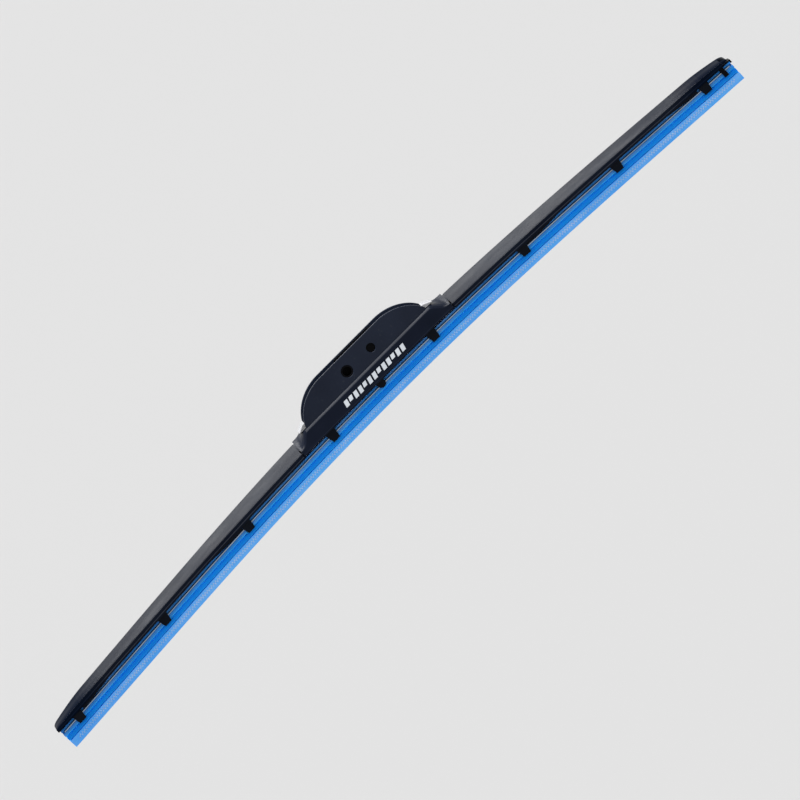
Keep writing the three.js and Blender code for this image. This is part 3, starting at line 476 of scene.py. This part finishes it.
def scrubbers(shape, side_x):
    """Rows of small raised triangles on both faces of the keel."""
    low, high = np.array(KEEL_LOW), np.array(KEEL_HIGH)
    along = (high - low) / np.linalg.norm(high - low)
    normal = np.array((along[1], -along[0]))
    length = np.linalg.norm(high - low)
    pitch, rise, half, plain_end = 1.6, 0.36, 0.62, 3
    count = int((STRIP_HALF - plain_end) / pitch)
    for k in range(count):
        x = side_x * (0.5 + k) * pitch
        for side in (-1, 1):
            for t0, t1, flip in ((0.24, 0.58, 1), (0.62, 0.96, -1)):
                wide, tip = (t1, t0) if flip > 0 else (t0, t1)
                shift = 0.0 if flip > 0 else pitch / 2
                trio = [(x + shift - half, wide), (x + shift + half, wide), (x + shift, tip)]
                corners = []
                for px, t in trio:
                    p = low + along * (t * length)
                    corners.append((px, side * p[0], p[1] - bow(px)))
                top = np.mean(np.array(corners), axis=0) + np.array((0, side * normal[0], normal[1])) * rise
                base = len(shape.points)
                shape.points += corners + [tuple(top)]
                # Kind 4 gives the points their lighter blue, a painted highlight.
                for a, b in ((0, 1), (1, 2), (2, 0)):
                    shape.add((base + a, base + b, base + 3), 4)
                shape.add((base, base + 2, base + 1), 4)


def strip_half(name, side):
    shape = Shape()
    shape.loft(lambda x: STRIP, spread(0, side * STRIP_HALF, STRIP_STEP), STRIP_KINDS)
    scrubbers(shape, side)
    # Kinds 2 and 3 take the brighter blues of painted light, kind 1 the keel's partly painted light and kind
    # 4 the points' painted highlight.
    obj = shape.done(name, [RUBBER, KEEL_FROST_AND_LIGHT, NECK_PAINTED_LIGHT, GAP_PAINTED_LIGHT, SCRUBBER_HIGHLIGHT], 40)
    outward(obj)
    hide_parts("wiper_rubber")
    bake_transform(obj)
    return obj


def rail_half(name, side, y_side, node):
    outer = y_side * RAIL_OUTER
    y0, y1 = sorted((y_side * (RAIL_OUTER - RAIL_WIDTH), outer))
    z0 = SLOT_Z + RAIL_GAP
    z1 = z0 + RAIL_THICK
    corners = ((y0, z0), (y1, z0), (y1, z1), (y0, z1))
    section = rounded([(y, z, 0.38 if y == outer else 0.12) for y, z in corners], 4)
    shape = Shape()
    shape.loft(lambda x: section, spread(0, side * (STRIP_HALF - RAIL_SHORT), STRIP_STEP))
    obj = shape.done(name, SPRING_STEEL_BLUE_REFLECTION, 50)
    outward(obj)
    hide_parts(node)
    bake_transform(obj)
    return obj


for hand, side in (("left", -1), ("right", 1)):
    strip_half(f"wiper_rubber_{hand}", side)
    rail_half(f"front_rail_{hand}", side, -1, "front_rail")
    rail_half(f"rear_rail_{hand}", side, 1, "rear_rail")


# ---------------------------------------------------------------- lever covers

COVER_HALF, BOTTOM, SHOULDER, RIDGE, RIDGE_TIP = 7.2, 12.6, 15.7, 20.75, 18.4
NOSE_LENGTH, NOSE_RIDGE, NOSE_HALF = 24.0, 15.9, 6.3
NOSE_WALL, NOSE_ROUND = 3.4, 3  # length of the closed end, and of its rounding
SLOPE_BELLY = 0.47
CLIP_ROOM_X = 233.8  # from here the right cover has closer rings, beside the end clip
CLIP_ROOF_Z = 13.65


def cover_sizes(x):
    """Ridge height, half width, shoulder height and height of the slope's middle at x."""
    nose_start = STRIP_HALF - NOSE_LENGTH
    along = min(1, max(0, (x - COVER_START) / (nose_start - COVER_START)))
    nose = max(0, (x - nose_start) / NOSE_LENGTH)
    ridge = RIDGE + (RIDGE_TIP - RIDGE) * along**1.2 + (NOSE_RIDGE - RIDGE_TIP) * nose**1.6
    half = COVER_HALF + (NOSE_HALF - COVER_HALF) * nose**2
    shoulder = SHOULDER - 1.1 * nose**2
    return ridge, half, shoulder, ridge - SLOPE_BELLY * (ridge - shoulder)


def cover_outer(x):
    ridge, half, shoulder, middle = cover_sizes(x)
    return [
        (-half - 0.28, BOTTOM, 0.2),
        (-half - 0.28, BOTTOM + 1.0, 0.22),
        (-half, BOTTOM + 1.35, 0.2),
        (-half, shoulder - 0.25, 0.35),
        (-half + 0.45, shoulder + 0.25, 0.5),
        (-1.8, middle, 6.0),
        (RIDGE_Y - 0.6, ridge - 0.1, 0.9),
        (RIDGE_Y + 0.5, ridge - 0.05, 0.7),
        (RIDGE_Y + 1.7, ridge - 0.8, 0.9),
        (half - 0.15, shoulder, 1.2),
        (half, BOTTOM + 0.6, 0.4),
        (half, BOTTOM, 0.2),
    ]


def cover_inner(x):
    ridge, half, shoulder, middle = cover_sizes(x)
    if x < COVER_START + 1.7:
        w = 0.5
        return [
            (half - w, BOTTOM, 0.15),
            (half - w, shoulder - 0.2, 0.6),
            (RIDGE_Y + 1.2, ridge - 1.1, 0.5),
            (RIDGE_Y - 0.6, ridge - 0.6, 0.5),
            (-1.8, middle - 0.5, 2.0),
            (-half + 0.9, shoulder - 0.3, 0.5),
            (-half + w, shoulder - 0.7, 0.3),
            (-half + w, BOTTOM, 0.15),
        ]
    return [
        (half - 1.0, BOTTOM, 0.15),
        (half - 1.0, shoulder - 0.6, 0.6),
        (RIDGE_Y + 0.7, ridge - 1.7, 0.5),
        (RIDGE_Y - 0.8, ridge - 1.15, 0.5),
        (-1.8, middle - 1.0, 2.0),
        (-half + 1.4, shoulder - 0.7, 0.5),
        (-half + 1.0, shoulder - 1.2, 0.3),
        (-half + 1.0, BOTTOM, 0.15),
    ]


def cover_piece(name, side, node, reach):
    shape = Shape()
    wall = reach - NOSE_WALL
    hollow_end = wall if side < 0 else CLIP_ROOM_X

    def hollow(x):
        return rounded(cover_outer(abs(x)) + cover_inner(abs(x)), 3)

    def solid(x):
        return rounded(cover_outer(abs(x)), 3)

    def nose(x):
        s = max(0, min(1, (abs(x) - (reach - NOSE_ROUND)) / NOSE_ROUND))
        k = 1 - math.sqrt(max(0, 1 - s * s))
        return [(y * (1 - 0.16 * k), BOTTOM + (z - BOTTOM) * (1 - 0.3 * k)) for y, z in solid(x)]

    def roofed(x):
        """The nose over the end clip: no floor below the clip's room."""
        return [(y, max(z, CLIP_ROOF_Z)) for y, z in nose(x)]

    step = [side * COVER_START, side * (COVER_START + 1.6), side * (COVER_START + 1.9)]
    shape.loft(hollow, step + spread(side * (COVER_START + 2.4), side * hollow_end, 2.5))
    tail = [*(reach - left for left in (NOSE_ROUND, 2.2, 1.5, 1.0, 0.6, 0.3, 0.1)), reach]
    if side < 0:
        shape.loft(nose, [-x for x in [wall, *tail]])
    else:
        shape.loft(hollow, spread(hollow_end, wall, 1.2))
        shape.loft(roofed, [wall, *tail])
    obj = outward(shape.done(name, COVER_BANDS, 38))
    for face in obj.data.polygons:
        band = int((abs(face.center.x + PIN_X / 1000) - BAND_START) / BAND_WIDTH)
        face.material_index = min(len(COVER_BANDS) - 1, max(0, band))
    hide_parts(node)
    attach(obj, "left_lever" if side < 0 else "right_lever")
    return obj


def neck_piece(name, side, body):
    """The cover's end that reaches in under the bridge, and the web that carries it."""
    half, foot, front, rear, w = 5.55, BOTTOM + 0.3, 15.5, 17.0, 0.8
    outer = [(-half, foot, 0.1), (-half, front, 0.5), (half, rear, 0.5), (half, foot, 0.1)]
    inner = [
        (half - w, foot, 0.1),
        (half - w, rear - w, 0.4),
        (-half + w, front - w, 0.4),
        (-half + w, foot, 0.1),
    ]
    shape = Shape()
    section = rounded(outer + inner, 3)
    shape.loft(lambda x: section, [side * (COVER_START - 3.0), side * (COVER_START + 3.4)])
    rim = [
        (-6.6, BOTTOM + 0.4, 0.2),
        (-6.6, 15.4, 0.5),
        (-1.8, 17.0, 0.5),
        (4.6, 18.9, 0.5),
        (6.3, 15.5, 0.5),
        (6.6, BOTTOM + 0.4, 0.2),
    ]
    web = rounded(rim + inner, 3)
    shape.loft(lambda x: web, [side * (COVER_START + 2.6), side * (COVER_START + 3.4)])
    obj = outward(shape.done(name, COVER, 38))
    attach(obj, body)
    return obj


cover_piece("left_cover_shell", -1, "left_cover", STRIP_HALF + 0.8)
cover_piece("right_cover_shell", 1, "right_cover", STRIP_HALF - 0.4)
neck_piece("left_cover_neck", -1, "left_lever")
neck_piece("right_cover_neck", 1, "right_lever")


# ---------------------------------------------------------------- centre bridge

TOP, BRIDGE_BOTTOM, WIDTH = 22.5, 13.1, 8.5
POCKET_X, POCKET_Y, POCKET_Z = 43.15, 6.95, 21.35
END_STEP = 0.3  # how far the bridge's ends stand proud of the covers
POCKET_EDGE = 0.001  # half the length in which the pocket's end wall rises


def bridge_section(x):
    """The bridge's section in the middle, which turns through twist into the covers' at its ends."""
    t = (abs(x) - (BRIDGE_HALF - BRIDGE_BLEND)) / BRIDGE_BLEND
    t = min(1.0, max(0.0, t))
    floor = POCKET_Z if abs(x) < POCKET_X else TOP
    half = COVER_HALF + END_STEP
    ridge = RIDGE + END_STEP
    front = SHOULDER + END_STEP

    def slope(y):
        return front + (ridge - front) * (y + half) / (RIDGE_Y + half)

    middle = [
        (-WIDTH - 0.15, BRIDGE_BOTTOM, 0.2),
        (-WIDTH - 0.15, BRIDGE_BOTTOM + 0.7, 0.2),
        (-WIDTH, BRIDGE_BOTTOM + 1.0, 0.2),
        (-WIDTH + 0.1, TOP - 1.3, 0.8),
        (-WIDTH + 1.15, TOP, 0.9),
        (-POCKET_Y, TOP, 0.01),
        (-POCKET_Y, floor, 0.01),
        (POCKET_Y, floor, 0.01),
        (POCKET_Y, TOP, 0.01),
        (WIDTH - 1.15, TOP, 0.9),
        (WIDTH - 0.1, TOP - 1.3, 0.8),
        (WIDTH, BRIDGE_BOTTOM + 1.0, 0.2),
        (WIDTH, BRIDGE_BOTTOM, 0.2),
        (WIDTH - 1.6, BRIDGE_BOTTOM, 0.15),
        (WIDTH - 1.6, 19.75, 0.5),
        (-WIDTH + 1.6, 19.75, 0.5),
        (-WIDTH + 1.6, BRIDGE_BOTTOM, 0.15),
    ]
    twist = [
        (-8.5, 12.95, 0.2),
        (-8.45, 13.5, 0.2),
        (-8.2, 14.0, 0.4),
        (-7.4, 16.3, 2.5),
        (-6.1, 18.3, 3.0),
        (-4.2, 20.0, 1.5),
        (-1.0, 20.9, 0.5),
        (2.0, 21.15, 0.3),
        (4.0, 21.2, 0.3),
        (5.6, 20.8, 0.7),
        (7.3, 18.4, 0.8),
        (8.0, 13.9, 0.2),
        (8.0, 12.9, 0.2),
        (6.4, 12.9, 0.15),
        (6.2, 18.3, 0.5),
        (-5.4, 16.6, 0.5),
        (-6.7, 12.9, 0.15),
    ]
    end = [
        (-half - 0.15, BOTTOM, 0.2),
        (-half - 0.15, BOTTOM + 0.9, 0.2),
        (-half, BOTTOM + 1.2, 0.2),
        (-half, front - 0.3, 0.35),
        (-half + 0.5, front + 0.25, 0.35),
        (-half + 2.5, slope(-half + 2.5), 0.01),
        (-half + 5.0, slope(-half + 5.0), 0.01),
        (RIDGE_Y - 0.8, ridge - 0.2, 0.01),
        (RIDGE_Y + 0.4, ridge, 0.01),
        (RIDGE_Y + 1.4, ridge - 0.5, 0.35),
        (half - 0.2, front + 0.4, 0.35),
        (half, BOTTOM + 1.0, 0.2),
        (half, BOTTOM, 0.2),
        (half - 1.6, BOTTOM, 0.15),
        (half - 1.6, front + 1.0, 0.5),
        (-half + 1.6, front - 0.4, 0.5),
        (-half + 1.6, BOTTOM, 0.15),
    ]
    share = [math.cos(math.pi * t / 2) ** 4, 0.0, math.sin(math.pi * t / 2) ** 4]
    share[1] = 1 - share[0] - share[2]
    mixed = [
        tuple(sum(k * v for k, v in zip(share, trio)) for trio in zip(*corner))
        for corner in zip(middle, twist, end)
    ]
    return rounded(mixed, 3)


def centre_bridge():
    shape = Shape()
    start = BRIDGE_HALF - BRIDGE_BLEND
    outer = spread(start, BRIDGE_HALF, 0.7)
    inner = spread(-POCKET_X + POCKET_EDGE, POCKET_X - POCKET_EDGE, 5)
    edge = POCKET_X + POCKET_EDGE
    xs = [-x for x in reversed(outer)] + [-edge] + inner + [edge] + outer
    shape.loft(bridge_section, xs, drop=level)
    corners = [(-4.4, 16.3, 0.1), (3.6, 19.9, 0.3), (4.9, 19.7, 0.3), (6.2, 17.5, 0.2), (5.4, 17.5, 0.1)]
    tongue = rounded(corners, 3)
    for side in (-1, 1):
        shape.loft(lambda x: tongue, [side * (BRIDGE_HALF - 1.2), side * (BRIDGE_HALF + 1.9)], drop=level)
    obj = outward(shape.done("centre_bridge_shell", BRIDGE, 38))
    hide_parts("centre_bridge")
    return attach(obj, "bridge")


def printed_mark():
    """Plain slanted bars printed on the bridge's front face."""
    shape = Shape()
    z0, z1, lean, bar, gap = 15.5, 18.9, 0.9, 2.3, 1.05
    wall_foot, wall_lean, proud = 14.1, 0.0117, 0.012
    for k in range(13):
        x = -21.2 + k * (bar + gap)
        foot = z0 + (1.0 if k % 3 == 1 else 0.0)
        corners = [(x, foot), (x + bar, foot), (x + bar + lean, z1), (x + lean, z1)]
        outline = [(px, -WIDTH - proud + (pz - wall_foot) * wall_lean, pz) for px, pz in corners]
        shape.prism(outline, (0, 0.06, 0))
    obj = outward(shape.done("printed_mark", MARK, 30))
    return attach(obj, "bridge")


centre_bridge()
printed_mark()


# ---------------------------------------------------------------- arm bracket

BASE_Z, BRACKET_TOP, BRACKET_END_TOP = 21.4, 36.2, 23.4
BRACKET_HALF, BRACKET_FLAT = 43.0, 20.4
END_PULL, END_RISE, TOP_PULL = 0.133, 0.54, 0.469  # shares of the end curve's run and rise
PIN_HOLE_R, SMALL_HOLE_X, SMALL_HOLE_R = 3.175, 9.0, 2.38


def bracket_outline():
    rise, run = BRACKET_TOP - BRACKET_END_TOP, BRACKET_HALF - BRACKET_FLAT
    curve = bezier(
        (BRACKET_HALF, BRACKET_END_TOP),
        (BRACKET_HALF - run * END_PULL, BRACKET_END_TOP + rise * END_RISE),
        (BRACKET_FLAT + run * TOP_PULL, BRACKET_TOP),
        (BRACKET_FLAT, BRACKET_TOP),
        20,
    )
    foot = [(BRACKET_HALF - 0.4, BASE_Z), (BRACKET_HALF, BASE_Z + 0.4)]
    right = foot + curve
    return right + [(-x, z) for x, z in reversed(right)]


def arm_bracket():
    points, faces = [], []
    holes = [circle(PIN_X, PIN_Z, PIN_HOLE_R, 64), circle(SMALL_HOLE_X, PIN_Z, SMALL_HOLE_R, 56)]
    outline = bracket_outline()
    for y0, y1 in ((-6.8, -5.7), (5.7, 6.8)):
        p, f = plate("wall", [outline, *holes], y0, y1, 0.28)
        base = len(points)
        points += p
        faces += [tuple(base + i for i in face) for face in f]
    obj = outward(add_mesh("arm_bracket_walls", points, faces, BLACK_STEEL, 30))
    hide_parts("arm_bracket")
    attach(obj, "bridge")
    shape = Shape()
    left = (-BRACKET_HALF + 0.2, -18.0)
    right = (2.0, BRACKET_HALF - 0.2)
    foot = BASE_Z + 0.02
    floor = rounded(
        [
            (-5.75, foot, 0.1),
            (5.75, foot, 0.1),
            (5.75, 23.1, 0.0),
            (5.2, 22.5, 0.4),
            (-5.2, 22.5, 0.4),
            (-5.75, 23.1, 0.0),
        ],
        3,
    )
    for x0, x1 in (left, right):
        shape.loft(lambda x: floor, [x0, x1], drop=level)
    for y0, y1 in ((-5.75, -4.7), (4.7, 5.75)):
        rim = rounded([(y0, foot, 0.1), (y1, foot, 0.1), (y1, 22.5, 0.1), (y0, 22.5, 0.1)], 2)
        shape.loft(lambda x: rim, [left[1] - 0.3, right[0] + 0.3], drop=level)
    base = outward(shape.done("arm_bracket_base", BLACK_STEEL, 38))
    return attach(base, "bridge")


arm_bracket()


# ---------------------------------------------------------------- pieces that keep their solids


def dress(node, material, bevel, segments, angle=32):
    """A CAD solid with its own mesh unchanged, under a weld, a bevel and weighted normals."""
    obj = NODES[node]
    obj.data.materials.clear()
    obj.data.materials.append(material)
    obj.data.polygons.foreach_set("use_smooth", [True] * len(obj.data.polygons))
    weld = obj.modifiers.new("weld", "WELD")
    weld.merge_threshold = 1e-6
    edge = obj.modifiers.new("edge", "BEVEL")
    edge.width, edge.segments = bevel, segments
    edge.limit_method, edge.angle_limit = "ANGLE", math.radians(angle)
    edge.harden_normals = False
    normals = obj.modifiers.new("normals", "WEIGHTED_NORMAL")
    normals.keep_sharp = True
    return obj


dress("adapter_liner", NYLON, 0.0002, 3)
dress("hook_adapter", BLACK_NYLON, 0.00015, 2)
dress("centre_claw_holder", CLAW_STEEL, 0.0002, 3)
dress("end_clip", BLACK_NYLON, 0.0002, 3)
for n in ("bracket_rivet_left", "bracket_rivet_right"):
    dress(n, PIN_STEEL, 0.0001, 2, 40)
for hand in ("left", "right"):
    dress(f"{hand}_lever_frame", CLAW_STEEL, 0.0002, 3)
    dress(f"{hand}_yoke", CLAW_STEEL, 0.0002, 3)
    dress(f"{hand}_hinge_pin", PIN_STEEL, 0.0001, 2, 40)
    dress(f"{hand}_yoke_pin", PIN_STEEL, 0.0001, 2, 40)
    dress(f"{hand}_hinge_bush", NYLON, 0.00008, 2, 40)
    dress(f"{hand}_yoke_bush", NYLON, 0.00008, 2, 40)


# ---------------------------------------------------------------- floor, light and camera


def studio():
    mesh = bpy.data.meshes.new("floor")
    r, z = 150.0, -6.0
    mesh.from_pydata([(-r, -r, z), (r, -r, z), (r, r, z), (-r, r, z)], [], [(0, 1, 2, 3)])
    floor = bpy.data.objects.new("floor", mesh)
    bpy.context.scene.collection.objects.link(floor)
    g = Graph("floor_paint")
    g.set(Base_Color=g.colours(g.noise(0.02, 2), (0.755, 0.755, 0.755), (0.765, 0.765, 0.765)), Roughness=0.9)
    floor.data.materials.append(g.material)
    world = bpy.data.worlds.new("studio")
    bpy.context.scene.world = world
    world.use_nodes = True
    world.node_tree.nodes["Background"].inputs[0].default_value = (1, 1, 1, 1)
    world.node_tree.nodes["Background"].inputs[1].default_value = 1.0
    bpy.context.scene.view_settings.view_transform = "Standard"


def softbox(name, place, aim, width, height, power):
    light = bpy.data.lights.new(name, "AREA")
    light.shape, light.size, light.size_y, light.energy = "RECTANGLE", width, height, power
    obj = bpy.data.objects.new(name, light)
    obj.location = place
    obj.rotation_mode = "QUATERNION"
    obj.rotation_quaternion = (Vector(place) - Vector(aim)).to_track_quat("Z", "Y")
    bpy.context.scene.collection.objects.link(obj)


def camera():
    elevation, roll = math.radians(9.5), math.radians(45.06)
    lens, sensor, width = 300.0, 36.0, 0.4083
    data = bpy.data.cameras.new("camera")
    data.lens, data.sensor_width = lens, sensor
    data.dof.use_dof = False
    obj = bpy.data.objects.new("camera", data)
    bpy.context.scene.collection.objects.link(obj)
    back = Vector((0, -math.cos(elevation), math.sin(elevation)))
    up = Vector((0, math.sin(elevation), math.cos(elevation)))
    right = Vector((1, 0, 0))
    x_axis = right * math.cos(roll) - up * math.sin(roll)
    y_axis = right * math.sin(roll) + up * math.cos(roll)
    target = Vector(row((0.69, 0, -2.42)))
    distance = width * lens / sensor
    rotation = Matrix((x_axis, y_axis, back)).transposed()
    obj.matrix_world = Matrix.Translation(target + back * distance) @ rotation.to_4x4()
    data.clip_start, data.clip_end = 0.1, 1000
    bpy.context.scene.camera = obj


studio()
softbox("top", (0.0, 0.72, 1.2), (0, 0, 0), 0.86, 0.8, 20)
softbox("edge", (0.0, -0.35, 1.3), (0, 0, 0), 1.4, 0.16, 50)
camera()
